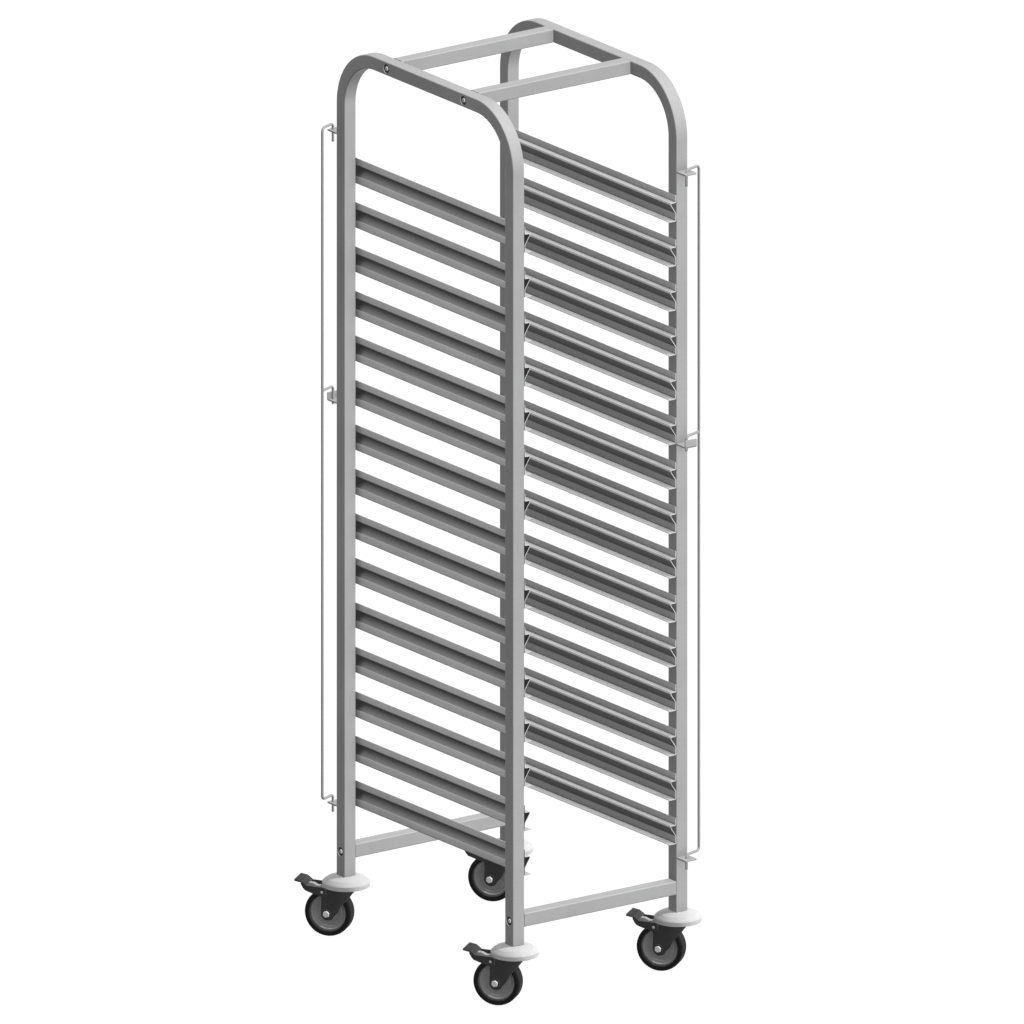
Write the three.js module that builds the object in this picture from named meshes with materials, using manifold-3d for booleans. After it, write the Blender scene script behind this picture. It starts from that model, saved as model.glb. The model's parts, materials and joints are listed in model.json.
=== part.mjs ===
// Sheet pan rack on four braked swivel casters.
//
// Two bent side hoops of square tube stand side by side, tied together by four crossbars. Fifteen pairs of
// folded sheet rails are welded inside the hoops and carry the pans by their rims. A wire latch bar swings
// across each end and keeps the pans in while the rack rolls.
//
// Millimetres, +Z up. X runs across the rack, and the front, where the pans go in, faces -Y. The rack is
// drawn about the middle of its frame. The finished group is then moved so that the origin is on the
// floor, in the middle of the whole footprint, which the parked brake pedals widen to the left and rear.

import * as THREE from 'three';
import { mergeVertices } from 'three/addons/utils/BufferGeometryUtils.js';
import Module from 'manifold-3d';

const wasm = await Module();
wasm.setup();

// ---- Driving dimensions ---------------------------------------------------------------------------

const rackWidth = 380;
const rackDepth = 537;
const rackHeight = 1654;
const footprintShift = { x: 14, y: -21 }; // where the frame's middle stands in the footprint
const gap = 0.3; // clearance between neighbouring pieces

const tube = { size: 25, wall: 1.2, corner: 2 };
const hoopBend = { radius: 99.5, steps: 8 }; // to the tube's centreline
const legBottom = 113.5;

const rail = {
  levels: 15,
  pitch: 82.3,
  firstLedge: 240,
  sheet: 1.2,
  reach: 15, // how far a ledge stands out from the leg
  grooveBottom: 15,
  lip: 34,
  flangeTop: 48,
  rearTrim: 40, // how far a right rail's ledge and lip end short of the back of the rack
};

const crossbar = { topSpread: 117, bottomHeight: 158 };
const accessHole = { radius: 8.5, sides: 14 };
const boltHole = { radius: 4.2, sides: 8 };

const wire = { radius: 2.5, bend: 7, bendSteps: 3, sides: 8 };
const latchArm = 35; // from the pin's axis to the rod's axis
const tab = { reach: 28, thickness: 3, hole: 3.3, sides: 8, lipHeight: 12, lipThickness: 2.5 };

// Each latch hangs on one leg. side and end are the signs of X and Y there, parkedAngle is how far the
// parked arm points past the outside of the rack, and each hook gives the heights of a tab's top face,
// of the arm above it and of the pin's tip below it.
const latches = [
  {
    name: 'front_latch', side: 1, end: -1, pin: [176, -284.5], parkedAngle: 16,
    top: { tab: 1484.6, arm: 1489.5, tip: 1458.7 },
    middle: { tab: 980.8, arm: 996.7, tip: 968.8 },
    bottom: { tab: 215.6, arm: 222.6, tip: 194.7 },
  },
  {
    name: 'rear_latch', side: -1, end: 1, pin: [-182, 289.5], parkedAngle: 22,
    top: { tab: 1485.2, arm: 1496.1, tip: 1462.3 },
    middle: { tab: 986.3, arm: 1010.2, tip: 976.4 },
    bottom: { tab: 241.1, arm: 254, tip: 222.2 },
  },
];

// The caster, seen from the side: x is forward from the swivel axis, z is the height above the floor.
const casterYaw = Math.atan2(-0.8, 0.6); // all four wheels roll the same way at rest
const wheel = {
  radius: 43,
  halfWidth: 14,
  shoulder: { width: 3, drop: 3 }, // the slope from the tread to the tyre's side
  coreRadius: 33,
  recess: 9, // how far the core lies below the tyre's side
  hubRadius: 11,
  hubHeight: 0.8, // how far the hub stands out past the tyre's side
  bore: 5.2,
  trail: -30.5, // from the swivel axis back to the axle
};
const axle = { radius: 4.7, hexRadius: 5.8, hexHeight: 4 };
const cheek = { inner: 15.5, thickness: 2.5, lobeRadius: 12.5, lobeForward: 1.5 };
const crown = { bottom: 87.5, top: 91, rear: -46, front: 14 };
const head = { radius: 24, top: 95.3 };
const stem = { radius: 5.8, top: 143, bore: 6.5 };
const bumper = {
  radius: 42.5,
  underside: 95.9,
  skirt: 93.6, // the rim's inner lower edge
  rimBottom: 94,
  rimTop: 101.6,
  dome: [[40.5, 104], [34, 108.6], [24, 111.8]], // [radius, height] from the rim up to the leg
  plugTop: 149,
};
const pedal = {
  plate: 2,
  halfWidth: 20.6,
  tread: 3,
  pivot: [-39, 82.5],
  shoe: [82, 84.5], // the brake web's underside and top
  rivetRadius: 2.6,
  rivetLength: 7,
  holeRadius: 3.2,
};
const sides = { large: 24, medium: 12, small: 10 }; // of the polygons that stand in for circles

const legX = (rackWidth - tube.size) / 2;
const legY = (rackDepth - tube.size) / 2;
const wallX = legX - tube.size / 2; // inner face of a hoop
const topBarZ = rackHeight - tube.size / 2;

// ---- Materials ------------------------------------------------------------------------------------

function finish(name, colour, roughness, metalness) {
  return () => new THREE.MeshStandardMaterial({ name, color: colour, roughness, metalness });
}

const brushedTube = finish('frame_steel', 0xb4b6b8, 0.38, 0.9);
const brushedSheet = finish('rail_steel', 0x9c9ea0, 0.45, 0.9);
const brightWire = finish('wire_steel', 0xc4c6c8, 0.3, 0.95);
const whitePlastic = finish('bumper_plastic', 0xe6e7e8, 0.45, 0);
const blackSteel = finish('caster_steel', 0x232426, 0.5, 0.6);
const blackRubber = finish('tyre_rubber', 0x151516, 0.75, 0);
const zincSteel = finish('zinc_steel', 0xd6d8da, 0.3, 0.95);

// ---- Solids: joining and cutting ------------------------------------------------------------------

function toSolid(geometry) {
  const bare = geometry.clone();
  bare.deleteAttribute('normal');
  bare.deleteAttribute('uv');
  const merged = mergeVertices(bare, 1e-4);
  return new wasm.Manifold(new wasm.Mesh({
    numProp: 3,
    vertProperties: Float32Array.from(merged.attributes.position.array),
    triVerts: Uint32Array.from(merged.index.array),
  }));
}

function toGeometry(solid) {
  const mesh = solid.getMesh();
  const geometry = new THREE.BufferGeometry();
  geometry.setAttribute('position', new THREE.BufferAttribute(Float32Array.from(mesh.vertProperties), 3));
  geometry.setIndex(new THREE.BufferAttribute(Uint32Array.from(mesh.triVerts), 1));
  geometry.computeVertexNormals();
  return geometry;
}

/** Joins the first list of geometries into one solid and cuts the second list out of it. */
function combine(added, removed = []) {
  const joined = added.map(toSolid).reduce((sum, next) => sum.add(next));
  return toGeometry(removed.map(toSolid).reduce((rest, next) => rest.subtract(next), joined));
}

// ---- Shapes ---------------------------------------------------------------------------------------

function box(low, high) {
  const size = high.map((value, axis) => value - low[axis]);
  const middle = high.map((value, axis) => (value + low[axis]) / 2);
  return new THREE.BoxGeometry(...size).translate(...middle);
}

/** A cylinder whose axis runs along 'x', 'y' or 'z', centred on the given point. */
function rod(axis, radius, length, centre, sideCount) {
  const geometry = new THREE.CylinderGeometry(radius, radius, length, sideCount);
  if (axis === 'x') geometry.rotateZ(Math.PI / 2);
  if (axis === 'z') geometry.rotateX(Math.PI / 2);
  return geometry.translate(...centre);
}

/** A cylinder on the Z axis. */
function upright(radius, bottom, top, sideCount) {
  return rod('z', radius, top - bottom, [0, 0, (top + bottom) / 2], sideCount);
}

/** Turns a closed [radius, height] outline about the Z axis. */
function turned(outline, sideCount) {
  const loop = [...outline, outline[0]].map(([radius, height]) => new THREE.Vector2(radius, height));
  return new THREE.LatheGeometry(loop, sideCount).rotateX(Math.PI / 2);
}

/** A closed outline in the XZ plane, given thickness along Y, starting at fromY. */
function slab(outline, fromY, thickness) {
  const shape = outline instanceof THREE.Shape
    ? outline
    : new THREE.Shape(outline.map(([x, z]) => new THREE.Vector2(x, z)));
  const options = { depth: thickness, bevelEnabled: false, curveSegments: 5 };
  return new THREE.ExtrudeGeometry(shape, options).rotateX(Math.PI / 2).translate(0, fromY + thickness, 0);
}

/** The outline of a bent sheet: the given [x, z] line, and the same line offset to its left. */
function sheetOutline(line, thickness) {
  const points = line.map(([x, z]) => new THREE.Vector2(x, z));
  const last = points.length - 1;
  const direction = (index) => points[index + 1].clone().sub(points[index]).normalize();
  const offset = points.map((point, index) => {
    const before = direction(Math.max(index - 1, 0));
    const after = direction(Math.min(index, last - 1));
    const mitre = new THREE.Vector2(-before.y - after.y, before.x + after.x).normalize();
    const stretch = thickness / mitre.dot(new THREE.Vector2(-after.y, after.x));
    return point.clone().addScaledVector(mitre, stretch);
  });
  return [...points, ...offset.reverse()].map((point) => [point.x, point.y]);
}

/** A square tube's section, hollow, with rounded outer corners. */
function tubeSection() {
  const half = tube.size / 2;
  const inner = half - tube.wall;
  const straight = half - tube.corner;
  const shape = new THREE.Shape();
  shape.absarc(straight, straight, tube.corner, 0, Math.PI / 2);
  shape.absarc(-straight, straight, tube.corner, Math.PI / 2, Math.PI);
  shape.absarc(-straight, -straight, tube.corner, Math.PI, 1.5 * Math.PI);
  shape.absarc(straight, -straight, tube.corner, 1.5 * Math.PI, 2 * Math.PI);
  const hollow = [[inner, inner], [-inner, inner], [-inner, -inner], [inner, -inner]];
  shape.holes.push(new THREE.Path(hollow.map(([x, y]) => new THREE.Vector2(x, y))));
  return shape;
}

/** A path through its own stations, each a point with the direction of travel there. */
class StationPath extends THREE.Curve {
  constructor(stations) {
    super();
    this.stations = stations;
  }

  locate(t) {
    const last = this.stations.length - 1;
    const place = t * last;
    const index = Math.min(Math.floor(place), last - 1);
    return [this.stations[index], this.stations[index + 1], place - index];
  }

  getPoint(t, target = new THREE.Vector3()) {
    const [before, after, share] = this.locate(t);
    return target.lerpVectors(before.point, after.point, share);
  }

  getTangent(t, target = new THREE.Vector3()) {
    const [before, after, share] = this.locate(t);
    return target.lerpVectors(before.tangent, after.tangent, share).normalize();
  }

  getUtoTmapping(u) {
    return u;
  }
}

/** Rounds the inner corners of a line with bends of one radius. */
function bentPath(corners, radius, bendSteps) {
  const points = corners.map((corner) => new THREE.Vector3(...corner));
  const last = points.length - 1;
  const heading = (index) => points[index + 1].clone().sub(points[index]).normalize();
  const stations = [{ point: points[0], tangent: heading(0) }];
  for (let index = 1; index < last; index += 1) {
    const before = heading(index - 1);
    const turn = before.angleTo(heading(index));
    const axis = before.clone().cross(heading(index)).normalize();
    const inward = axis.clone().cross(before);
    const start = points[index].clone().addScaledVector(before, -radius * Math.tan(turn / 2));
    const centre = start.clone().addScaledVector(inward, radius);
    for (let step = 0; step <= bendSteps; step += 1) {
      const angle = (turn * step) / bendSteps;
      const spoke = inward.clone().applyAxisAngle(axis, angle);
      stations.push({
        point: centre.clone().addScaledVector(spoke, -radius),
        tangent: before.clone().applyAxisAngle(axis, angle),
      });
    }
  }
  stations.push({ point: points[last], tangent: heading(last - 1) });
  return new StationPath(stations);
}

/** Sweeps a section along a path of stations. Each arc of the section gets twice curveSegments sides. */
function swept(section, path, curveSegments) {
  const options = { steps: path.stations.length - 1, extrudePath: path, curveSegments };
  return new THREE.ExtrudeGeometry(section, options);
}

function bentWire(corners) {
  const section = new THREE.Shape();
  section.absarc(0, 0, wire.radius, 0, 2 * Math.PI);
  return swept(section, bentPath(corners, wire.bend, wire.bendSteps), wire.sides / 2);
}

// ---- The rack's frame -----------------------------------------------------------------------------

const rack = new THREE.Group();

function place(parent, name, geometry, material) {
  const mesh = new THREE.Mesh(geometry, material());
  mesh.name = name;
  parent.add(mesh);
  return mesh;
}

/** The welded tab that a latch pin drops through. The middle one has an upturned outer edge. */
function latchTab(latch, hook, hasLip) {
  const rootY = latch.end * (rackDepth / 2 - tube.wall / 2);
  const tipY = latch.end * (rackDepth / 2 + tab.reach);
  const inner = latch.side * wallX;
  const outer = latch.side * (wallX + tube.size);
  const [lowX, highX] = [Math.min(inner, outer), Math.max(inner, outer)];
  const [lowY, highY] = [Math.min(rootY, tipY), Math.max(rootY, tipY)];
  const pieces = [box([lowX, lowY, hook.tab - tab.thickness], [highX, highY, hook.tab])];
  if (hasLip) {
    const lipInner = tipY - latch.end * tab.lipThickness;
    const lipLow = [lowX, Math.min(lipInner, tipY), hook.tab - tab.thickness];
    pieces.push(box(lipLow, [highX, Math.max(lipInner, tipY), hook.tab + tab.lipHeight]));
  }
  return pieces;
}

function tabHole(latch, hook) {
  return rod('z', tab.hole, 4 * tab.thickness, [...latch.pin, hook.tab - tab.thickness / 2], tab.sides);
}

/** One side of the rack: legs and top bar bent from one tube, with its welded latch tabs. */
function hoop(side) {
  const line = [
    [0, -legY, legBottom],
    [0, -legY, topBarZ],
    [0, legY, topBarZ],
    [0, legY, legBottom],
  ];
  const bentTube = swept(tubeSection(), bentPath(line, hoopBend.radius, hoopBend.steps), 1);
  bentTube.translate(side * legX, 0, 0);

  const added = [bentTube];
  const removed = [];
  for (const latch of latches.filter((each) => each.side === side)) {
    for (const hook of [latch.top, latch.middle, latch.bottom]) {
      added.push(...latchTab(latch, hook, hook === latch.middle));
      removed.push(tabHole(latch, hook));
    }
  }
  const boltPlaces = [
    [-crossbar.topSpread, topBarZ],
    [crossbar.topSpread, topBarZ],
    [-legY, crossbar.bottomHeight],
    [legY, crossbar.bottomHeight],
  ];
  for (const [y, z] of boltPlaces) {
    const outerWall = [side * (legX + tube.size / 2), y, z];
    const innerWall = [side * wallX, y, z];
    removed.push(rod('x', accessHole.radius, 4 * tube.wall, outerWall, accessHole.sides));
    removed.push(rod('x', boltHole.radius, 4 * tube.wall, innerWall, boltHole.sides));
  }
  return combine(added, removed);
}

place(rack, 'left_hoop', hoop(-1), brushedTube);
place(rack, 'right_hoop', hoop(1), brushedTube);

const crossbarLength = 2 * (wallX - gap);
const crossbars = [
  ['top_front_crossbar', -crossbar.topSpread, topBarZ],
  ['top_rear_crossbar', crossbar.topSpread, topBarZ],
  ['bottom_front_crossbar', -legY, crossbar.bottomHeight],
  ['bottom_rear_crossbar', legY, crossbar.bottomHeight],
];
for (const [name, y, z] of crossbars) {
  const bar = new THREE.ExtrudeGeometry(tubeSection(), {
    depth: crossbarLength,
    bevelEnabled: false,
    curveSegments: 1,
  });
  const mesh = place(rack, name, bar.rotateY(Math.PI / 2), brushedTube);
  mesh.position.set(-crossbarLength / 2, y, z);
}

// ---- Pan rails ------------------------------------------------------------------------------------

// Seen from the front, on the left side: out from the wall, along the ledge that carries the pan's rim,
// then up the web, in along the slope, back along the lip, and up the flange that stiffens the top edge.
function railGeometry() {
  const line = [
    [rail.reach, 0],
    [0, 0],
    [0, rail.grooveBottom],
    [rail.reach - 2 * rail.sheet, rail.lip],
    [0, rail.lip],
    [0, rail.flangeTop],
  ];
  // The line runs down the wall side of the sheet, so the sheet lies on the side away from the wall.
  const outline = sheetOutline([...line].reverse(), rail.sheet);
  return slab(outline, -rackDepth / 2, rackDepth);
}

/** The right-hand rail, before it is turned around: only its flat wall side reaches the rear leg. */
function trimmedRailGeometry() {
  const clearOfWallSide = 0.05;
  const margin = 5;
  const trimmed = box(
    [rail.sheet + clearOfWallSide, -rackDepth / 2 - margin, -margin],
    [rail.reach + margin, -rackDepth / 2 + rail.rearTrim, rail.flangeTop + margin],
  );
  return combine([railGeometry()], [trimmed]);
}

for (let level = 0; level < rail.levels; level += 1) {
  const number = String(level + 1).padStart(2, '0');
  const ledge = rail.firstLedge + level * rail.pitch;
  const leftRail = place(rack, `left_rail_${number}`, railGeometry(), brushedSheet);
  leftRail.position.set(-wallX + gap, 0, ledge);
  const rightRail = place(rack, `right_rail_${number}`, trimmedRailGeometry(), brushedSheet);
  rightRail.position.set(wallX - gap, 0, ledge);
  rightRail.rotation.z = Math.PI;
}

// ---- Latch bars -----------------------------------------------------------------------------------

for (const latch of latches) {
  const angle = THREE.MathUtils.degToRad(latch.parkedAngle);
  const pin = latch.pin;
  const post = [
    pin[0] + latch.side * latchArm * Math.cos(angle),
    pin[1] + latch.side * latchArm * Math.sin(angle),
  ];
  const bar = bentWire([
    [...pin, latch.top.tip],
    [...pin, latch.top.arm],
    [...post, latch.top.arm],
    [...post, latch.bottom.arm],
    [...pin, latch.bottom.arm],
    [...pin, latch.bottom.tip],
  ]);
  place(rack, `${latch.name}_bar`, bar, brightWire);

  // The middle arm starts at the surface of the rod it is welded to.
  const weldShare = (wire.radius + gap) / latchArm;
  const weld = [
    post[0] + (pin[0] - post[0]) * weldShare,
    post[1] + (pin[1] - post[1]) * weldShare,
  ];
  const arm = bentWire([
    [...weld, latch.middle.arm],
    [...pin, latch.middle.arm],
    [...pin, latch.middle.tip],
  ]);
  place(rack, `${latch.name}_middle_arm`, arm, brightWire);
}

// ---- Casters --------------------------------------------------------------------------------------

/** The round bumper under a leg, with the plug that grips inside the tube and the bore for the stem. */
function bumperGeometry() {
  const plugRadius = tube.size / 2 - tube.wall - gap;
  return turned([
    [stem.bore, bumper.underside],
    [31, bumper.underside],
    [33, bumper.skirt],
    [bumper.radius, bumper.rimBottom],
    [bumper.radius, bumper.rimTop],
    ...bumper.dome,
    [14, legBottom - gap],
    [plugRadius, legBottom - gap],
    [plugRadius, bumper.plugTop],
    [stem.bore, bumper.plugTop],
  ], sides.large);
}

/** The outline of a fork cheek: a round lobe at the axle, widening upwards to the crown. */
function cheekShape() {
  const lobeCentre = [wheel.trail + cheek.lobeForward, wheel.radius];
  const rearEdge = lobeCentre[0] - cheek.lobeRadius + 1;
  const top = crown.bottom + 1; // inside the crown, which joins the cheeks
  const shape = new THREE.Shape();
  shape.moveTo(crown.rear, top);
  shape.lineTo(crown.rear, 79);
  shape.lineTo(rearEdge, 74);
  shape.lineTo(rearEdge, 46);
  shape.absarc(...lobeCentre, cheek.lobeRadius, Math.PI * 0.92, Math.PI * 1.88, false);
  shape.lineTo(-3, 60);
  shape.lineTo(crown.front, 82);
  shape.lineTo(crown.front, top);
  shape.closePath();
  return shape;
}

/** The swivelling fork: crown, two cheeks, swivel head and stem, and the rivets the pedal turns on. */
function forkGeometry() {
  const outerY = cheek.inner + cheek.thickness;
  const [pivotX, pivotZ] = pedal.pivot;
  const rivetY = outerY + pedal.plate;
  return combine([
    slab(cheekShape(), cheek.inner, cheek.thickness),
    slab(cheekShape(), -outerY, cheek.thickness),
    box([crown.rear, -outerY, crown.bottom], [crown.front, outerY, crown.top]),
    upright(head.radius, crown.bottom, head.top, sides.large),
    upright(stem.radius, crown.bottom, stem.top, sides.medium),
    rod('y', pedal.rivetRadius, pedal.rivetLength, [pivotX, rivetY, pivotZ], sides.small),
    rod('y', pedal.rivetRadius, pedal.rivetLength, [pivotX, -rivetY, pivotZ], sides.small),
  ], [
    rod('y', wheel.bore, 3 * outerY, [wheel.trail, 0, wheel.radius], sides.medium),
  ]);
}

/** The wheel, turned about Z: a recessed core with a hub, and a tyre with rounded shoulders. */
function wheelGeometry() {
  // The sides are flat, so their corners stand out a little further than the wheel's own radius.
  const outer = wheel.radius / Math.cos(Math.PI / sides.large);
  const half = wheel.halfWidth;
  const upper = [
    [outer, half - wheel.shoulder.width],
    [outer - wheel.shoulder.drop, half],
    [wheel.coreRadius, half],
    [wheel.coreRadius, half - wheel.recess],
    [wheel.hubRadius, half - wheel.recess],
    [wheel.hubRadius, half + wheel.hubHeight],
    [wheel.bore, half + wheel.hubHeight],
  ];
  const lower = upper.map(([radius, height]) => [radius, -height]).reverse();
  // Half a side's turn lays one flat side on the floor.
  return turned([...lower, ...upper], sides.large).rotateZ(Math.PI / sides.large);
}

/** The wheel's axle bolt, with its hexagon head and nut outside the fork. */
function axleGeometry() {
  const outerY = cheek.inner + cheek.thickness + gap;
  const hexCentre = outerY + axle.hexHeight / 2;
  return combine([
    rod('y', axle.radius, 2 * hexCentre, [0, 0, 0], sides.medium),
    rod('y', axle.hexRadius, axle.hexHeight, [0, hexCentre, 0], 6),
    rod('y', axle.hexRadius, axle.hexHeight, [0, -hexCentre, 0], 6),
  ]);
}

/** The brake pedal: two side plates on the rivets, a brake web above the tyre and a turned-up tread. */
function pedalGeometry() {
  const [pivotX, pivotZ] = pedal.pivot;
  const plateOutline = [
    [pivotX + 8, 77.5],
    [pivotX + 8, 88.5],
    [pivotX + 4, 91.5],
    [-70, 92.5],
    [-77, 97.5],
    [-79, 96.5],
    [-74, 88.5],
    [-70, 83.5],
    [-58, 79.5],
    [pivotX + 2, 73.5],
  ];
  const plates = [pedal.halfWidth - pedal.plate, -pedal.halfWidth]
    .map((fromY) => slab(plateOutline, fromY, pedal.plate));
  const width = 2 * pedal.halfWidth;
  const treadOutline = sheetOutline([[-68, 90.5], [-77, 97], [-90, 99.5]], pedal.tread);
  const tread = slab(treadOutline, -pedal.halfWidth, width);
  const [shoeBottom, shoeTop] = pedal.shoe;
  const brakeWeb = box([-67, -pedal.halfWidth, shoeBottom], [-54, pedal.halfWidth, shoeTop]);
  const pivotHole = rod('y', pedal.holeRadius, 2 * width, [pivotX, 0, pivotZ], sides.small);
  return combine([...plates, tread, brakeWeb], [pivotHole]);
}

const corners = [
  ['front_left', -1, -1],
  ['front_right', 1, -1],
  ['rear_left', -1, 1],
  ['rear_right', 1, 1],
];
for (const [name, side, end] of corners) {
  const caster = new THREE.Group();
  caster.position.set(side * legX, end * legY, 0);
  caster.rotation.z = casterYaw;
  rack.add(caster);

  place(caster, `${name}_bumper`, bumperGeometry(), whitePlastic);
  place(caster, `${name}_fork`, forkGeometry(), blackSteel);
  place(caster, `${name}_brake_pedal`, pedalGeometry(), blackSteel);

  const wheelMesh = place(caster, `${name}_wheel`, wheelGeometry(), blackRubber);
  wheelMesh.position.set(wheel.trail, 0, wheel.radius);
  wheelMesh.rotation.x = Math.PI / 2;
  const axleMesh = place(caster, `${name}_axle`, axleGeometry(), zincSteel);
  axleMesh.position.set(wheel.trail, 0, wheel.radius);
}

rack.position.set(footprintShift.x, footprintShift.y, 0);

export default rack;
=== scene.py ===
"""The looks of a sheet pan rack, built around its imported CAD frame.

Every length is in metres. MM turns the millimetres that the pieces are drawn in into metres.
"""

import json
import math

import bmesh
import bpy
from mathutils import Matrix, Vector

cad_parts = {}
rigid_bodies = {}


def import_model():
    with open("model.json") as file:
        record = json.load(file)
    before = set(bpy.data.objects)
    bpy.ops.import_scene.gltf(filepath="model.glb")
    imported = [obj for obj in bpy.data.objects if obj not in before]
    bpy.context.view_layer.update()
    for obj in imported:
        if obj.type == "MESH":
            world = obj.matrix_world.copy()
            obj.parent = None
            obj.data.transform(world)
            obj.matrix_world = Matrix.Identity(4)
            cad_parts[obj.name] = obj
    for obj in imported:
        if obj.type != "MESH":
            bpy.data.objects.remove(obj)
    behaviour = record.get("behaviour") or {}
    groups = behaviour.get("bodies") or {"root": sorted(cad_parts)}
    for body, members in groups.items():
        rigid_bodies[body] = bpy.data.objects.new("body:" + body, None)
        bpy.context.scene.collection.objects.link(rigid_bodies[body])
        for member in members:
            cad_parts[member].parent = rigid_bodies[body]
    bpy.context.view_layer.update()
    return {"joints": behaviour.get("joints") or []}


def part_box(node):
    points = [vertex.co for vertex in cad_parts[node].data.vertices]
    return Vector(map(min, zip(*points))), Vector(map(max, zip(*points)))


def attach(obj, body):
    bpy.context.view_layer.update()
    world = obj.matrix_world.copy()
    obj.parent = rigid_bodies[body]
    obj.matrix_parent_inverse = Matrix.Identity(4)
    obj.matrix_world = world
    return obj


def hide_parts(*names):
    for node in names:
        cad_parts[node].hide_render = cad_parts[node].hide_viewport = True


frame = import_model()

MM = 0.001
scene = bpy.context.scene
joints = {joint["name"]: joint for joint in frame["joints"]}

# ---- Measurements taken from the CAD frame ----------------------------------------------------------

CROSSBARS = (
    "top_front_crossbar",
    "top_rear_crossbar",
    "bottom_front_crossbar",
    "bottom_rear_crossbar",
)
CORNERS = ("front_left", "front_right", "rear_left", "rear_right")
LEVELS = 15

crossbar_low, crossbar_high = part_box("top_front_crossbar")
rail_low, rail_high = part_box("left_rail_01")
left_low, left_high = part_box("left_hoop")
right_low, right_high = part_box("right_hoop")

TUBE = crossbar_high.z - crossbar_low.z
front_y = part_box("bottom_front_crossbar")[0].y
rear_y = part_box("bottom_rear_crossbar")[1].y
leg_front_y = front_y + TUBE / 2
leg_rear_y = rear_y - TUBE / 2
hoop_x = {"left": (left_low.x + left_high.x) / 2, "right": (right_low.x + right_high.x) / 2}
outward = {"left": -1, "right": 1}
top_bar_z = left_high.z - TUBE / 2
leg_bottom_z = left_low.z
frame_centre = Vector(((hoop_x["left"] + hoop_x["right"]) / 2, (front_y + rear_y) / 2, 0))

# ---- Dimensions of the details, in metres -----------------------------------------------------------

WALL = 1.2 * MM
TUBE_CORNER = 2 * MM
HOOP_BEND = 99.5 * MM
ACCESS_HOLE = 8.5 * MM
SHEET = 1.2 * MM
REAR_TRIM = 40 * MM
FLAT_END_TRIM = 19 * MM
CUT_MARGIN = 5 * MM
CUT_CLEARANCE = 0.05 * MM
WIRE = 2.5 * MM
TAB_REACH = 28 * MM
TAB_THICKNESS = 3 * MM
TAB_HOLE = 3.2 * MM
TAB_CORNER = 2 * MM
TAB_WELD_INSET = 3 * MM
TAB_WELD_RADIUS = 1.5 * MM
LIP_HEIGHT = 12 * MM
LIP_THICKNESS = 2.5 * MM
LIP_CORNER = 1.5 * MM
WIRE_BEND = 7 * MM
WIRE_END_BEVEL = 0.5 * MM
WIRE_SHARP = 60
ARM_OVERLAP = 0.6 * MM
ARM_WELD_OFFSET = 0.2 * MM
ARM_WELD_RADIUS = 0.8 * MM
ARM_WELD_BEADS = 12

RAIL_GROOVE_BOTTOM = 15 * MM
RAIL_LIP = 34 * MM
RAIL_LIP_INSET = 1.6 * MM
RAIL_FILLET = 2.2 * MM

# A black cup under each bolt head is painted shade: it darkens the hollow of the tube seen through the
# access hole.
BOLT_SHADE_CUP_RADIUS = 10.4 * MM
BOLT_SHADE_CUP_TOP = 21.8 * MM
BOLT_HEAD_RADIUS = 4.2 * MM
BOLT_HEAD_TOP = 23.5 * MM
BOLT_BEVEL = 0.5 * MM

# ---- Materials --------------------------------------------------------------------------------------

NOISE_MIDDLE = (0.3, 0.7)
# How often a noise repeats along the grain and around the section, in the "grain" UV map's metres.
FINE_LINES, CROSS_LINES, COARSE_LINES = (6, 5200, 1), (1500, 20, 1), (14, 900, 1)
DIE_LINES = (9, 2600, 1)
# How noise in the object's own metres is stretched: smears run down the rack, scuffs around the caster.
SMEAR_STRETCH, SCUFF_STRETCH = (1, 1, 0.35), (1, 1, 7)
# Reaches and samples of the ambient occlusion that paints shade into the steels' colour, and the least
# share of the colour that this painted shade leaves.
GROOVE_SHADE_REACH, GROOVE_SHADE_SAMPLES = 0.022, 6
INSIDE_SHADE_REACH, INSIDE_SHADE_SAMPLES = 0.45, 4
DARKEST_PAINTED_SHADE = 0.07


def math_node(tree, operation, first, second):
    """Joins two sockets or numbers in one maths node of a node tree. Returns its value socket."""
    node = tree.nodes.new("ShaderNodeMath")
    node.operation = operation
    for socket, value in zip(node.inputs, (first, second)):
        if isinstance(value, (int, float)):
            socket.default_value = value
        else:
            tree.links.new(value, socket)
    return node.outputs["Value"]


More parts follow.
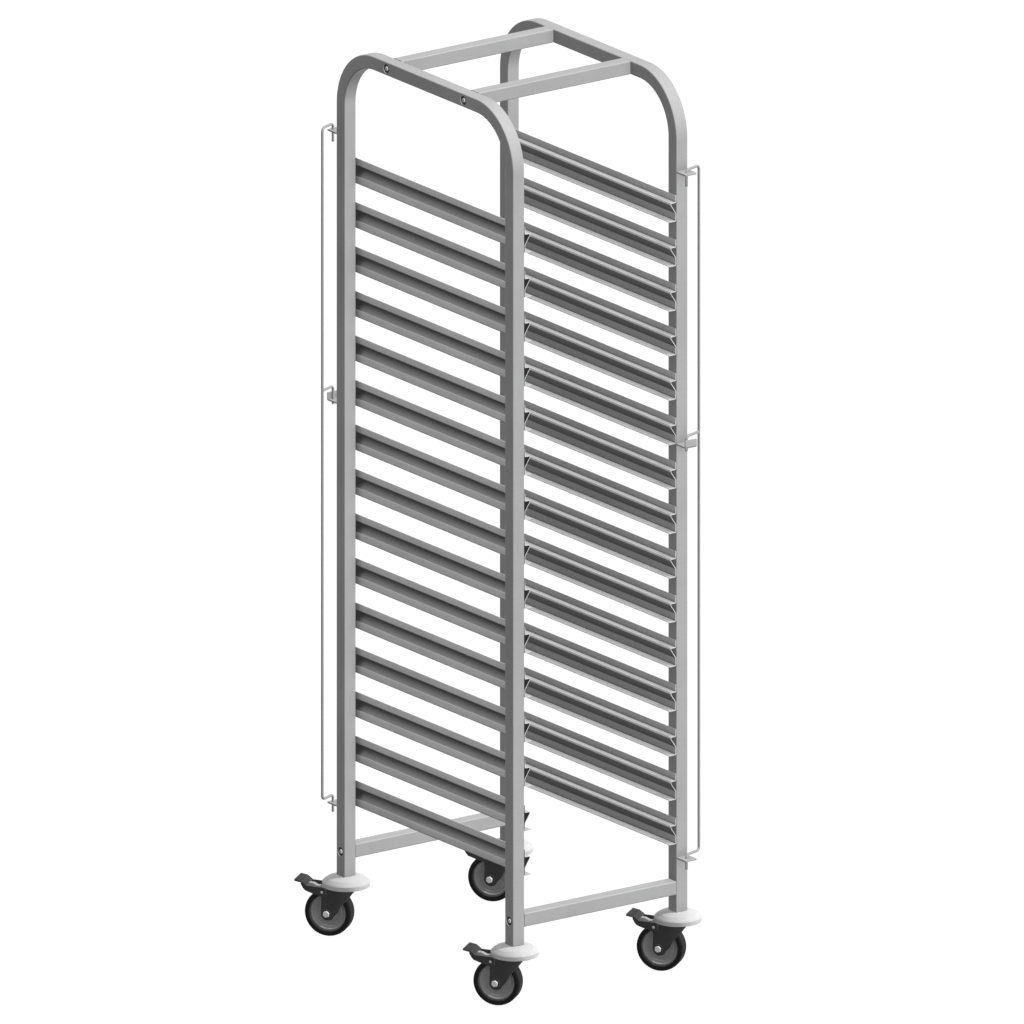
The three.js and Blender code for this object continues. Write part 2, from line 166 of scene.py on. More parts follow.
class Recipe:
    """A node material under construction, with the few node patterns that all the finishes share."""

    def __init__(self, name):
        self.material = bpy.data.materials.new(name)
        self.material.use_nodes = True
        self.nodes = self.material.node_tree.nodes
        self.links = self.material.node_tree.links
        self.shader = self.nodes["Principled BSDF"]

    def add(self, kind, **settings):
        node = self.nodes.new(kind)
        for key, value in settings.items():
            setattr(node, key, value)
        return node

    def noise(self, space, scale, detail=4.0, stretch=(1.0, 1.0, 1.0)):
        """Noise in 'UV' or 'Object' space, stretched along each axis. Returns its value socket."""
        coordinates = self.add("ShaderNodeTexCoord")
        mapping = self.add("ShaderNodeMapping")
        mapping.inputs["Scale"].default_value = stretch
        texture = self.add("ShaderNodeTexNoise")
        texture.inputs["Scale"].default_value = scale
        texture.inputs["Detail"].default_value = detail
        self.links.new(coordinates.outputs[space], mapping.inputs["Vector"])
        self.links.new(mapping.outputs["Vector"], texture.inputs["Vector"])
        return texture.outputs["Fac"]

    def spread(self, value, low, high):
        """Maps the middle of a noise's range onto low to high."""
        node = self.add("ShaderNodeMapRange")
        node.inputs["From Min"].default_value = NOISE_MIDDLE[0]
        node.inputs["From Max"].default_value = NOISE_MIDDLE[1]
        node.inputs["To Min"].default_value = low
        node.inputs["To Max"].default_value = high
        self.links.new(value, node.inputs["Value"])
        return node.outputs["Result"]

    def sum(self, first, second):
        return self.math("ADD", first, second)

    def tint(self, factor, dark, light):
        """A colour between dark and light."""
        node = self.add("ShaderNodeMix", data_type="RGBA")
        node.inputs["A"].default_value = (*dark, 1)
        node.inputs["B"].default_value = (*light, 1)
        self.links.new(factor, node.inputs["Factor"])
        return node.outputs["Result"]

    def math(self, operation, first, second):
        return math_node(self.material.node_tree, operation, first, second)

    def by_slope(self, stops):
        """A value that depends on how far the surface faces down (-1) or up (1)."""
        geometry = self.add("ShaderNodeNewGeometry")
        parts = self.add("ShaderNodeSeparateXYZ")
        self.links.new(geometry.outputs["Normal"], parts.inputs["Vector"])
        curve = self.add("ShaderNodeFloatCurve")
        points = curve.mapping.curves[0].points
        while len(points) < len(stops):
            points.new(0.5, 0.5)
        for point, (slope, value) in zip(points, stops):
            point.location = ((slope + 1) / 2, value / 2)
            point.handle_type = "VECTOR"
        curve.mapping.update()
        halved = self.math("MULTIPLY", parts.outputs["Z"], 0.5)
        self.links.new(self.math("ADD", halved, 0.5), curve.inputs["Value"])
        return self.math("MULTIPLY", curve.outputs["Value"], 2.0)

    def hidden(self, reach, samples):
        """How much of the space in front of the surface is taken up within reach, from 0 to 1."""
        occlusion = self.add("ShaderNodeAmbientOcclusion", samples=samples)
        occlusion.inputs["Distance"].default_value = reach
        return self.math("SUBTRACT", 1.0, occlusion.outputs["AO"])

    def painted_shade_and_light(self, colour, groove_shade, inside_shade, slope_light_and_shade):
        """Paints shade into a colour in grooves and inside the rack, and paints light and shade by the
        surface's slope alone.
        """
        # Ambient occlusion within a short reach paints shade into grooves, and within a long reach paints
        # shade deep inside the rack.
        near = self.math("MULTIPLY", self.hidden(GROOVE_SHADE_REACH, GROOVE_SHADE_SAMPLES), self.by_slope(groove_shade))
        far = self.math("MULTIPLY", self.hidden(INSIDE_SHADE_REACH, INSIDE_SHADE_SAMPLES), inside_shade)
        unshaded_share = self.math("SUBTRACT", 1.0, self.math("ADD", near, far))
        unshaded_share = self.math("MAXIMUM", unshaded_share, DARKEST_PAINTED_SHADE)
        # The slope curve then paints faces lighter or darker by which way they point.
        node = self.add("ShaderNodeMix", data_type="RGBA", blend_type="MULTIPLY")
        node.inputs["Factor"].default_value = 1.0
        self.links.new(colour, node.inputs["A"])
        self.links.new(self.math("MULTIPLY", unshaded_share, self.by_slope(slope_light_and_shade)), node.inputs["B"])
        return node.outputs["Result"]

    def relief(self, heights, depth):
        """Adds the summed heights to the surface as a bump."""
        total = heights[0]
        for height in heights[1:]:
            total = self.sum(total, height)
        bump = self.add("ShaderNodeBump")
        bump.inputs["Distance"].default_value = depth
        self.links.new(total, bump.inputs["Height"])
        self.links.new(bump.outputs["Normal"], self.shader.inputs["Normal"])

    def drive(self, name, socket):
        self.links.new(socket, self.shader.inputs[name])

    def fix(self, **values):
        for name, value in values.items():
            self.shader.inputs[name.replace("_", " ")].default_value = value


def grey(value, warmth=0.0):
    return (value * (1 + warmth), value, value * (1 - warmth))


def brushed_steel(name, base, roughness, grain, metallic, groove_shade, inside_shade, slope_light_and_shade):
    """Stainless steel with fine lines along the piece, broad cloudy variation and faint smears.

    The lists for grooves and for slope give how dark the painted shade in grooves is, and how light or dark
    faces are painted, by the slope of the surface.
    The inside number is how much darker the painted shade makes it deep inside the rack.
    """
    recipe = Recipe(name)
    lines = recipe.noise("UV", 1.0, 3.0, stretch=FINE_LINES)
    cross_lines = recipe.noise("UV", 1.0, 2.0, stretch=CROSS_LINES)
    coarse_lines = recipe.noise("UV", 1.0, 2.0, stretch=COARSE_LINES)
    clouds = recipe.noise("Object", 5.0, 3.0)
    smears = recipe.noise("Object", 38.0, 5.0, stretch=SMEAR_STRETCH)
    roughness_value = recipe.sum(
        recipe.spread(lines, roughness - 0.06 * grain, roughness + 0.06 * grain),
        recipe.sum(recipe.spread(clouds, -0.035, 0.035), recipe.spread(smears, -0.02, 0.03)),
    )
    recipe.drive("Roughness", roughness_value)
    shade = recipe.sum(
        recipe.sum(recipe.spread(coarse_lines, 0.2, 0.6), recipe.spread(cross_lines, -0.15, 0.15)),
        recipe.spread(clouds, -0.2, 0.25),
    )
    colour = recipe.tint(shade, grey(base * 0.86), grey(base * 1.1, -0.004))
    # The base colour carries painted shade in grooves and inside the rack, and painted light and shade by
    # slope.
    recipe.drive("Base Color", recipe.painted_shade_and_light(colour, groove_shade, inside_shade, slope_light_and_shade))
    relief = [recipe.spread(lines, 0, 0.6 * grain), recipe.spread(coarse_lines, 0, 0.4 * grain)]
    recipe.relief(relief, 0.04 * MM)
    recipe.fix(Metallic=metallic)
    return recipe.material


def drawn_wire(name, base, roughness):
    """Polished drawn wire, with die lines along it."""
    recipe = Recipe(name)
    lines = recipe.noise("UV", 1.0, 2.0, stretch=DIE_LINES)
    smears = recipe.noise("Object", 60.0, 4.0)
    recipe.drive("Roughness", recipe.sum(
        recipe.spread(lines, roughness - 0.04, roughness + 0.05),
        recipe.spread(smears, -0.03, 0.05),
    ))
    recipe.drive("Base Color", recipe.tint(recipe.spread(smears, 0, 1), grey(base * 0.93), grey(base)))
    recipe.relief([recipe.spread(lines, 0, 1)], 0.02 * MM)
    recipe.fix(Metallic=1.0)
    return recipe.material


def zinc_plate(name, base, roughness):
    """Zinc-plated steel, with a faint spangle and handling marks."""
    recipe = Recipe(name)
    spangle = recipe.noise("Object", 420.0, 3.0)
    marks = recipe.noise("Object", 1300.0, 4.0)
    recipe.drive("Roughness", recipe.spread(spangle, roughness - 0.07, roughness + 0.09))
    recipe.drive("Base Color", recipe.tint(recipe.spread(spangle, 0, 1), grey(base * 0.85), grey(base)))
    recipe.relief([recipe.spread(marks, 0, 1)], 0.03 * MM)
    recipe.fix(Metallic=1.0)
    return recipe.material


def weld_metal(name):
    """A bead of weld, with a fine ripple and a heat tint beside the clean steel."""
    recipe = Recipe(name)
    grain = recipe.noise("Object", 900.0, 4.0)
    tone = recipe.noise("Object", 220.0, 3.0)
    recipe.drive("Roughness", recipe.spread(grain, 0.3, 0.5))
    tinted = recipe.tint(recipe.spread(tone, 0, 1), (0.36, 0.35, 0.34), (0.56, 0.56, 0.57))
    recipe.drive("Base Color", tinted)
    recipe.relief([recipe.spread(grain, 0, 1)], 0.08 * MM)
    recipe.fix(Metallic=1.0)
    return recipe.material


def moulded_plastic(name, dark, light, roughness, texture_depth):
    """Moulded plastic with a fine spark texture, slight mottling and dull rubbed patches."""
    recipe = Recipe(name)
    texture = recipe.noise("Object", 2600.0, 3.0)
    mottle = recipe.noise("Object", 45.0, 4.0)
    rubbed = recipe.noise("Object", 110.0, 5.0)
    recipe.drive("Roughness", recipe.sum(
        recipe.spread(texture, roughness - 0.04, roughness + 0.04),
        recipe.spread(rubbed, -0.05, 0.06),
    ))
    recipe.drive("Base Color", recipe.tint(recipe.spread(mottle, 0, 1), dark, light))
    recipe.relief([recipe.spread(texture, 0, 1)], texture_depth)
    return recipe.material


def coated_steel(name, base, roughness):
    """Black coated steel, with the coating's orange peel and greyer rubbed areas."""
    recipe = Recipe(name)
    peel = recipe.noise("Object", 700.0, 2.0)
    dust = recipe.noise("Object", 95.0, 6.0)
    scuffs = recipe.noise("Object", 60.0, 6.0, stretch=SCUFF_STRETCH)
    recipe.drive("Roughness", recipe.sum(
        recipe.spread(dust, roughness - 0.05, roughness + 0.1),
        recipe.spread(scuffs, -0.03, 0.05),
    ))
    recipe.drive("Base Color", recipe.tint(recipe.spread(dust, 0, 1), grey(base), grey(base * 1.9)))
    recipe.relief([recipe.spread(peel, 0, 1), recipe.spread(dust, 0, 0.3)], 0.06 * MM)
    recipe.fix(Metallic=0.0)
    return recipe.material


def tyre_rubber(name):
    """Black rubber, dull, with dust rubbed into the fine grain of its surface."""
    recipe = Recipe(name)
    grain = recipe.noise("Object", 1900.0, 4.0)
    dust = recipe.noise("Object", 70.0, 6.0)
    recipe.drive("Roughness", recipe.spread(dust, 0.55, 0.8))
    recipe.drive("Base Color", recipe.tint(recipe.spread(dust, 0, 1), grey(0.003), grey(0.009, 0.04)))
    recipe.relief([recipe.spread(grain, 0, 1)], 0.08 * MM)
    recipe.fix(Specular_IOR_Level=0.22)
    return recipe.material


# Tube steel: a little painted shade in grooves and inside the rack, and painted by slope: faces pointing
# down darker (0.8), faces pointing up lighter (1.1).
TUBE_STEEL = brushed_steel(
    "brushed_tube", base=0.46, roughness=0.36, grain=1.0, metallic=1.0,
    groove_shade=[(-1, 0.3), (1, 0.3)],
    inside_shade=0.1,
    slope_light_and_shade=[(-1, 0.8), (0, 1.0), (0.5, 1.0), (1, 1.1)],
)
# Rail sheet: painted shade in grooves and strongly inside the rack. Its colour is also painted by slope:
# down to 0.22 on faces pointing down, dark at half slope, and a painted highlight up to 1.3 just past
# upright.
RAIL_STEEL = brushed_steel(
    "brushed_rail_sheet", base=0.85, roughness=0.45, grain=1.3, metallic=0.65,
    groove_shade=[(-1, 0.6), (0.05, 0.6), (0.35, 2.0), (0.75, 2.0), (0.9, 0.2), (1, 0.2)],
    inside_shade=0.7,
    slope_light_and_shade=[(-1, 0.22), (-0.5, 0.3), (-0.1, 0.98), (0, 1.05), (0.1, 1.3), (0.3, 1.2), (0.5, 0.42),
          (0.75, 0.9), (1, 1.0)],
)
WIRE_STEEL = drawn_wire("drawn_wire", 0.42, 0.28)
ZINC = zinc_plate("zinc_plate", 0.8, 0.3)
WELD = weld_metal("weld_bead")
BUMPER_PLASTIC = moulded_plastic("bumper_plastic", grey(0.7), grey(0.76), 0.6, 0.04 * MM)
CORE_PLASTIC = moulded_plastic("wheel_core_plastic", grey(0.36), grey(0.44), 0.5, 0.05 * MM)
BLACK_STEEL = coated_steel("black_coated_steel", 0.016, 0.42)
BLACK_PLASTIC = moulded_plastic("black_tread_plastic", grey(0.012), grey(0.022), 0.5, 0.05 * MM)
RUBBER = tyre_rubber("tyre_rubber")

# ---- Outlines and paths -----------------------------------------------------------------------------

FILLET_SHARE = 0.48
STRAIGHT_ANGLE = math.pi / 2 - 0.001
SHARPEST_MITRE = 0.3


def circle(radius, sides, start=0.0):
    angles = [start + 2 * math.pi * side / sides for side in range(sides)]
    return [(radius * math.cos(angle), radius * math.sin(angle)) for angle in angles]


def filleted(points, radius, steps, closed=True):
    """Rounds the corners of a 2-D line. A corner whose sides are short gets a smaller radius."""
    result = []
    count = len(points)
    for index, point in enumerate(points):
        corner = Vector(point)
        if not closed and index in (0, count - 1):
            result.append(corner)
            continue
        before = Vector(points[index - 1]) - corner
        after = Vector(points[(index + 1) % count]) - corner
        half = before.angle(after) / 2
        room = FILLET_SHARE * min(before.length, after.length)
        reach = min(radius / math.tan(half), room) if half < STRAIGHT_ANGLE else 0
        if reach <= 0:
            result.append(corner)
            continue
        start = corner + before.normalized() * reach
        end = corner + after.normalized() * reach
        centre = corner + (before.normalized() + after.normalized()).normalized() * (reach / math.cos(half))
        spoke = start - centre
        sweep_angle = spoke.angle_signed(end - centre)
        for step in range(steps + 1):
            result.append(centre + Matrix.Rotation(-sweep_angle * step / steps, 2) @ spoke)
    return [(point.x, point.y) for point in result]


def thickened(line, thickness):
    """The closed outline of a sheet whose middle follows a 2-D line."""
    points = [Vector(point) for point in line]
    last = len(points) - 1
    sides = ([], [])
    for index, point in enumerate(points):
        before = (points[max(index, 1)] - points[max(index, 1) - 1]).normalized()
        after = (points[min(index, last - 1) + 1] - points[min(index, last - 1)]).normalized()
        normal = Vector((-before.y - after.y, before.x + after.x)).normalized()
        stretch = thickness / 2 / max(SHARPEST_MITRE, normal.dot(Vector((-after.y, after.x))))
        sides[0].append(point + normal * stretch)
        sides[1].append(point - normal * stretch)
    return [(point.x, point.y) for point in sides[0] + sides[1][::-1]]


def bent_path(corners, radius, steps):
    """(point, heading) stations along a line whose inner corners are bends of one radius."""
    points = [Vector(corner) for corner in corners]
    stations = [(points[0], (points[1] - points[0]).normalized())]
    for index in range(1, len(points) - 1):
        before = (points[index] - points[index - 1]).normalized()
        after = (points[index + 1] - points[index]).normalized()
        turn = before.angle(after)
        axis = before.cross(after).normalized()
        inward = axis.cross(before)
        centre = points[index] - before * radius * math.tan(turn / 2) + inward * radius
        for step in range(steps + 1):
            rotation = Matrix.Rotation(turn * step / steps, 3, axis)
            stations.append((centre - rotation @ inward * radius, rotation @ before))
    stations.append((points[-1], (points[-1] - points[-2]).normalized()))
    return stations


def frames(stations, across):
    """Adds the section's two directions to each station of a path that lies in one plane."""
    return [(point, across, across.cross(heading).normalized()) for point, heading in stations]


# ---- Mesh building ----------------------------------------------------------------------------------

TURNED_GRAIN_RADIUS = 30 * MM
BEVEL_SEGMENTS = 2
FLAT_FACE_WEIGHT = 80


def sweep(section, stations, closed_path=False, hollow=None, mesh=None):
    """Sweeps a closed section through (point, across, up) stations. The "grain" UV map runs along, around.

    hollow is a second section with as many points, for the inside of a tube with open ends.
    """
    mesh = mesh or bmesh.new()
    layer = mesh.loops.layers.uv.get("grain") or mesh.loops.layers.uv.new("grain")
    lengths = [0.0]
    for (start, *_), (end, *_) in zip(stations, stations[1:]):
        lengths.append(lengths[-1] + (end - start).length)
    count = len(section)

    def skin(outline, flip):
        around = [0.0]
        for index in range(count):
            step = Vector(outline[(index + 1) % count]) - Vector(outline[index])
            around.append(around[-1] + step.length)
        rings = [
            [mesh.verts.new(point + across * a + up * b) for a, b in outline]
            for point, across, up in stations
        ]
        spans = len(rings) if closed_path else len(rings) - 1
        for span in range(spans):
            near, far = rings[span], rings[(span + 1) % len(rings)]
            near_u = lengths[span]
            far_u = lengths[span + 1] if span + 1 < len(lengths) else near_u + lengths[1]
            for index in range(count):
                other = (index + 1) % count
                corners = [
                    (near[index], near_u, around[index]),
                    (near[other], near_u, around[index + 1]),
                    (far[other], far_u, around[index + 1]),
                    (far[index], far_u, around[index]),
                ]
                if flip:
                    corners.reverse()
                face = mesh.faces.new([corner[0] for corner in corners])
                for loop, corner in zip(face.loops, corners):
                    loop[layer].uv = corner[1:]
        return rings

    outer = skin(section, False)
    if closed_path:
        return mesh
    inner = skin(hollow, True) if hollow else None
    for end, flip in ((0, True), (-1, False)):
        if inner:
            for index in range(count):
                other = (index + 1) % count
                ring = [outer[end][index], outer[end][other], inner[end][other], inner[end][index]]
                mesh.faces.new(ring[::-1] if flip else ring)
        else:
            face = mesh.faces.new(outer[end][::-1] if flip else outer[end])
            for loop, (a, b) in zip(face.loops, section[::-1] if flip else section):
                loop[layer].uv = (b, a)
    return mesh


def turned(profile, sides, mesh=None):
    """Turns a closed (radius, height) profile about the local Z axis."""
    stations = []
    for side in range(sides):
        angle = 2 * math.pi * side / sides
        outwards = Vector((math.cos(angle), math.sin(angle), 0))
        stations.append((Vector((0, 0, 0)), outwards, Vector((0, 0, 1))))
    swept = sweep(profile, stations, closed_path=True, mesh=mesh)
    layer = swept.loops.layers.uv["grain"]
    for face in swept.faces:
        middle = face.calc_center_median()
        turn = math.atan2(middle.y, middle.x)
        for loop in face.loops:
            place = loop.vert.co
            swing = math.atan2(place.y, place.x)
            swing += 2 * math.pi * round((turn - swing) / (2 * math.pi))
            loop[layer].uv = (swing * TURNED_GRAIN_RADIUS, loop[layer].uv[1])
    return swept


def slab(outline, from_y, to_y, mesh=None):
    """A flat piece: an (x, z) outline, given thickness along Y."""
    across, up = Vector((1, 0, 0)), Vector((0, 0, 1))
    stations = [(Vector((0, from_y, 0)), across, up), (Vector((0, to_y, 0)), across, up)]
    return sweep(outline, stations, mesh=mesh)


def plate(outline, from_z, to_z, mesh=None):
    """A flat piece: an (x, y) outline, given thickness along Z."""
    across, up = Vector((1, 0, 0)), Vector((0, 1, 0))
    stations = [(Vector((0, 0, from_z)), across, up), (Vector((0, 0, to_z)), across, up)]
    return sweep(outline, stations, mesh=mesh)


def shift(mesh, offset):
    bmesh.ops.translate(mesh, verts=mesh.verts, vec=offset)
    return mesh


def turn_to(mesh, matrix):
    bmesh.ops.transform(mesh, verts=mesh.verts, matrix=matrix)
    return mesh


def cut(target, cutters):
    """Cuts meshes out of target with one exact boolean for each."""
    for index, cutter in enumerate(cutters):
        bmesh.ops.recalc_face_normals(cutter, faces=cutter.faces)
        data = bpy.data.meshes.new(f"cutter_{index}")
        cutter.to_mesh(data)
        cutter.free()
        tool = bpy.data.objects.new(f"cutter_{index}", data)
        scene.collection.objects.link(tool)
        modifier = target.modifiers.new("cut", "BOOLEAN")
        modifier.operation = "DIFFERENCE"
        modifier.solver = "EXACT"
        modifier.object = tool
        depsgraph = bpy.context.evaluated_depsgraph_get()
        result = bpy.data.meshes.new_from_object(target.evaluated_get(depsgraph))
        target.modifiers.remove(modifier)
        target.data = result
        bpy.data.objects.remove(tool)


def piece(name, mesh, body, material, stands_for=(), bevel=0.0, cutters=(), sharp=35):
    """Makes a named piece from a bmesh, shades it, and lets it ride on a body."""
    bmesh.ops.recalc_face_normals(mesh, faces=mesh.faces)
    data = bpy.data.meshes.new(name)
    mesh.to_mesh(data)
    mesh.free()
    made = bpy.data.objects.new(name, data)
    scene.collection.objects.link(made)
    data.materials.append(material)
    if cutters:
        cut(made, cutters)
        made.data.name = name
    made.data.shade_smooth()
    made.data.set_sharp_from_angle(angle=math.radians(sharp))
    if bevel:
        rounding = made.modifiers.new("rounded_edges", "BEVEL")
        rounding.width = bevel
        rounding.segments = BEVEL_SEGMENTS
        rounding.limit_method = "ANGLE"
        rounding.angle_limit = math.radians(sharp)
        rounding.harden_normals = True
    else:
        flat_faces = made.modifiers.new("flat_faces", "WEIGHTED_NORMAL")
        flat_faces.keep_sharp = True
        flat_faces.weight = FLAT_FACE_WEIGHT
    made.visible_glossy = False
    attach(made, body)
    for node in stands_for:
        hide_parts(node)
    return made


# ---- Hoops and crossbars ----------------------------------------------------------------------------


def rounded_square(size, corner, steps=5):
    half = size / 2
    return filleted([(half, half), (-half, half), (-half, -half), (half, -half)], corner, steps)


def peg(axis, radius, length, centre, sides=40):
    """A cylinder along 'x' or 'z', for cutting round holes."""
    mesh = plate(circle(radius, sides), -length / 2, length / 2)
    if axis == "x":
        turn_to(mesh, Matrix.Rotation(math.pi / 2, 4, "Y"))
    return shift(mesh, centre)


def tube_between(stations):
    outer = rounded_square(TUBE, TUBE_CORNER)
    inner = rounded_square(TUBE - 2 * WALL, TUBE_CORNER - WALL)
    return sweep(outer, stations, hollow=inner)


def build_hoop(side):
    x = hoop_x[side]
    corners = [
        (x, leg_front_y, leg_bottom_z),
        (x, leg_front_y, top_bar_z),
        (x, leg_rear_y, top_bar_z),
        (x, leg_rear_y, leg_bottom_z),
    ]
    mesh = tube_between(frames(bent_path(corners, HOOP_BEND, 26), Vector((1, 0, 0))))
    holes = []
    for name in CROSSBARS:
        low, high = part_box(name)
        centre = Vector((x + outward[side] * TUBE / 2, (low.y + high.y) / 2, (low.z + high.z) / 2))
        holes.append(peg("x", ACCESS_HOLE, 4 * WALL, centre))
    node = f"{side}_hoop"
    piece(f"{node}_tube", mesh, "frame", TUBE_STEEL, [node], cutters=holes)


def build_crossbar(name):
    low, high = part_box(name)
    middle_y, middle_z = (low.y + high.y) / 2, (low.z + high.z) / 2
    stations = [(Vector((x, middle_y, middle_z)), Vector((1, 0, 0))) for x in (low.x, high.x)]
    mesh = tube_between(frames(stations, Vector((0, 1, 0))))
    piece(f"{name}_tube", mesh, "frame", TUBE_STEEL, [name])


def build_crossbar_bolts():
    """A bolt at both ends of each crossbar, with its head on a black cup of painted shade behind the hoop's
    access hole.
    """
    for name in CROSSBARS:
        low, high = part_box(name)
        for side, sign in outward.items():
            inner_wall = hoop_x[side] - sign * (TUBE / 2 - WALL)
            to_place = Matrix.Translation((inner_wall, (low.y + high.y) / 2, (low.z + high.z) / 2))
            to_place = to_place @ Matrix.Rotation(sign * math.pi / 2, 4, "Y")
            # The black cup is painted shade: a dark piece that darkens the hollow of the tube seen through
            # the access hole.
            cup = turn_to(plate(circle(BOLT_SHADE_CUP_RADIUS, 40), 0, BOLT_SHADE_CUP_TOP), to_place)
            piece(f"{name}_bolt_shade_cup_{side}", cup, "frame", BLACK_PLASTIC, bevel=BOLT_BEVEL)
            head = turn_to(plate(circle(BOLT_HEAD_RADIUS, 6), BOLT_SHADE_CUP_TOP, BOLT_HEAD_TOP), to_place)
            piece(f"{name}_bolt_{side}", head, "frame", ZINC, bevel=BOLT_BEVEL)


for hoop_side in outward:
    build_hoop(hoop_side)
for crossbar_name in CROSSBARS:
    build_crossbar(crossbar_name)
build_crossbar_bolts()

# ---- Rails ------------------------------------------------------------------------------------------


def rail_outline():
    """The folded sheet, seen from the front on the left side, with x = 0 at its wall side."""
    middle = SHEET / 2
    reach = rail_high.x - rail_low.x
    height = rail_high.z - rail_low.z
    lip_z = RAIL_LIP + middle
    line = [
        (reach, middle),
        (middle, middle),
        (middle, RAIL_GROOVE_BOTTOM),
        (reach - RAIL_LIP_INSET, lip_z),
        (middle, lip_z),
        (middle, height),
    ]
    return thickened(filleted(line, RAIL_FILLET, 6, closed=False), SHEET)


def rear_trim(low, high):
    """The block that takes a right rail's ledge and lip away in front of the rear leg."""
    from_x, to_x = low.x - CUT_MARGIN, high.x - SHEET - CUT_CLEARANCE
    from_z, to_z = low.z - CUT_MARGIN, high.z + CUT_MARGIN
    corners = [(from_x, from_z), (to_x, from_z), (to_x, to_z), (from_x, to_z)]
    return slab(corners, high.y - REAR_TRIM, high.y + CUT_MARGIN)


def build_rails():
    outline = rail_outline()
    mirrored = [(-a, b) for a, b in outline][::-1]
    for side, sign in outward.items():
        for level in range(1, LEVELS + 1):
            node = f"{side}_rail_{level:02d}"
            low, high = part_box(node)
            if side == "left":
                mesh = shift(slab(outline, low.y, high.y), Vector((low.x, 0, low.z)))
                trims = []
            else:
                mesh = shift(slab(mirrored, low.y, high.y - FLAT_END_TRIM), Vector((high.x, 0, low.z)))
                trims = [rear_trim(low, high)]
            piece(f"{node}_sheet", mesh, "frame", RAIL_STEEL, [node], bevel=0.2 * MM,
                  cutters=trims)


BEAD_STEP = 0.6 * MM
BEAD_RIPPLE = 0.13
BEAD_STEPS_PER_RIPPLE = 3
BEAD_FEWEST_STEPS = 8
BEAD_SIDES = 10
BEAD_END_POWER = 8
BEAD_END_LEAST = 0.02


def bead(start, end, radius, mesh=None):
    """A weld bead with the ripples that the torch leaves."""
    run = end - start
    heading = run.normalized()
    across = heading.orthogonal().normalized()
    up = across.cross(heading)
    steps = max(BEAD_FEWEST_STEPS, int(run.length / BEAD_STEP))
    stations = []
    scales = []
    for step in range(steps + 1):
        share = step / steps
        rounding = math.sqrt(max(BEAD_END_LEAST, 1 - (2 * share - 1) ** BEAD_END_POWER))
        ripple = math.cos(2 * math.pi * share * steps / BEAD_STEPS_PER_RIPPLE)
        scales.append(rounding * (1 + BEAD_RIPPLE * ripple))
        stations.append(start + run * share)
    mesh = mesh or bmesh.new()
    mesh.loops.layers.uv.get("grain") or mesh.loops.layers.uv.new("grain")
    section = circle(radius, BEAD_SIDES)
    rings = [
        [mesh.verts.new(point + across * a * scale + up * b * scale) for a, b in section]
        for point, scale in zip(stations, scales)
    ]
    for near, far in zip(rings, rings[1:]):
        for index in range(len(near)):
            other = (index + 1) % len(near)
            mesh.faces.new([near[index], near[other], far[other], far[index]])
    mesh.faces.new(rings[0][::-1])
    mesh.faces.new(rings[-1])
    return mesh


build_rails()

# ---- Latch bars and their tabs ----------------------------------------------------------------------

# Heights in millimetres: each hook's tab top, arm and pin tip, as the CAD frame has them.
LATCHES = {
    "front_latch": {
        "side": "right", "end": -1,
        "top": (1484.6, 1489.5, 1458.7), "middle": (980.8, 996.7, 968.8), "bottom": (215.6, 222.6, 194.7),
    },
    "rear_latch": {
        "side": "left", "end": 1,
        "top": (1485.2, 1496.1, 1462.3), "middle": (986.3, 1010.2, 976.4), "bottom": (241.1, 254, 222.2),
    },
}
HOOKS = ("top", "middle", "bottom")


def latch_axes(name):
    """The (x, y) of a latch's pins and of its rod."""
    pin = Vector(joints[f"{name}_swing"]["pos_m"]).to_2d()
    low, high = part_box(f"{name}_bar")
    edge, inset = (high, WIRE) if LATCHES[name]["side"] == "right" else (low, -WIRE)
    return pin, Vector((edge.x - inset, edge.y - inset))


def wire_mesh(corners, across):
    stations = frames(bent_path(corners, WIRE_BEND, 10), across)
    return sweep(circle(WIRE, 20), stations)


def build_latch_bar(name):
    latch = LATCHES[name]
    pin, post = latch_axes(name)
    heading = (pin - post).normalized()
    across = Vector((-heading.y, heading.x, 0))
    top, bottom, middle = (
        {"arm": latch[hook][1] * MM, "tip": latch[hook][2] * MM} for hook in ("top", "bottom", "middle")
    )
    bar = wire_mesh([
        (*pin, top["tip"]),
        (*pin, top["arm"]),
        (*post, top["arm"]),
        (*post, bottom["arm"]),
        (*pin, bottom["arm"]),
        (*pin, bottom["tip"]),
    ], across)
    piece(f"{name}_wire", bar, name, WIRE_STEEL, [f"{name}_bar"], bevel=WIRE_END_BEVEL,
          sharp=WIRE_SHARP)

    arm_start = post + heading * (WIRE - ARM_OVERLAP)
    arm = wire_mesh([(*arm_start, middle["arm"]), (*pin, middle["arm"]), (*pin, middle["tip"])], across)
    piece(f"{name}_arm_wire", arm, name, WIRE_STEEL, [f"{name}_middle_arm"],
          bevel=WIRE_END_BEVEL, sharp=WIRE_SHARP)

    ring = bmesh.new()
    weld_centre = post + heading * (WIRE + ARM_WELD_OFFSET)
    for turn in range(ARM_WELD_BEADS):
        ends = []
        for step in (turn, turn + 1):
            angle = 2 * math.pi * step / ARM_WELD_BEADS
            offset = across * math.cos(angle) + Vector((0, 0, 1)) * math.sin(angle)
            ends.append(Vector((*weld_centre, middle["arm"])) + offset * WIRE)
        bead(*ends, ARM_WELD_RADIUS, ring)
    piece(f"{name}_arm_weld", ring, name, WELD)


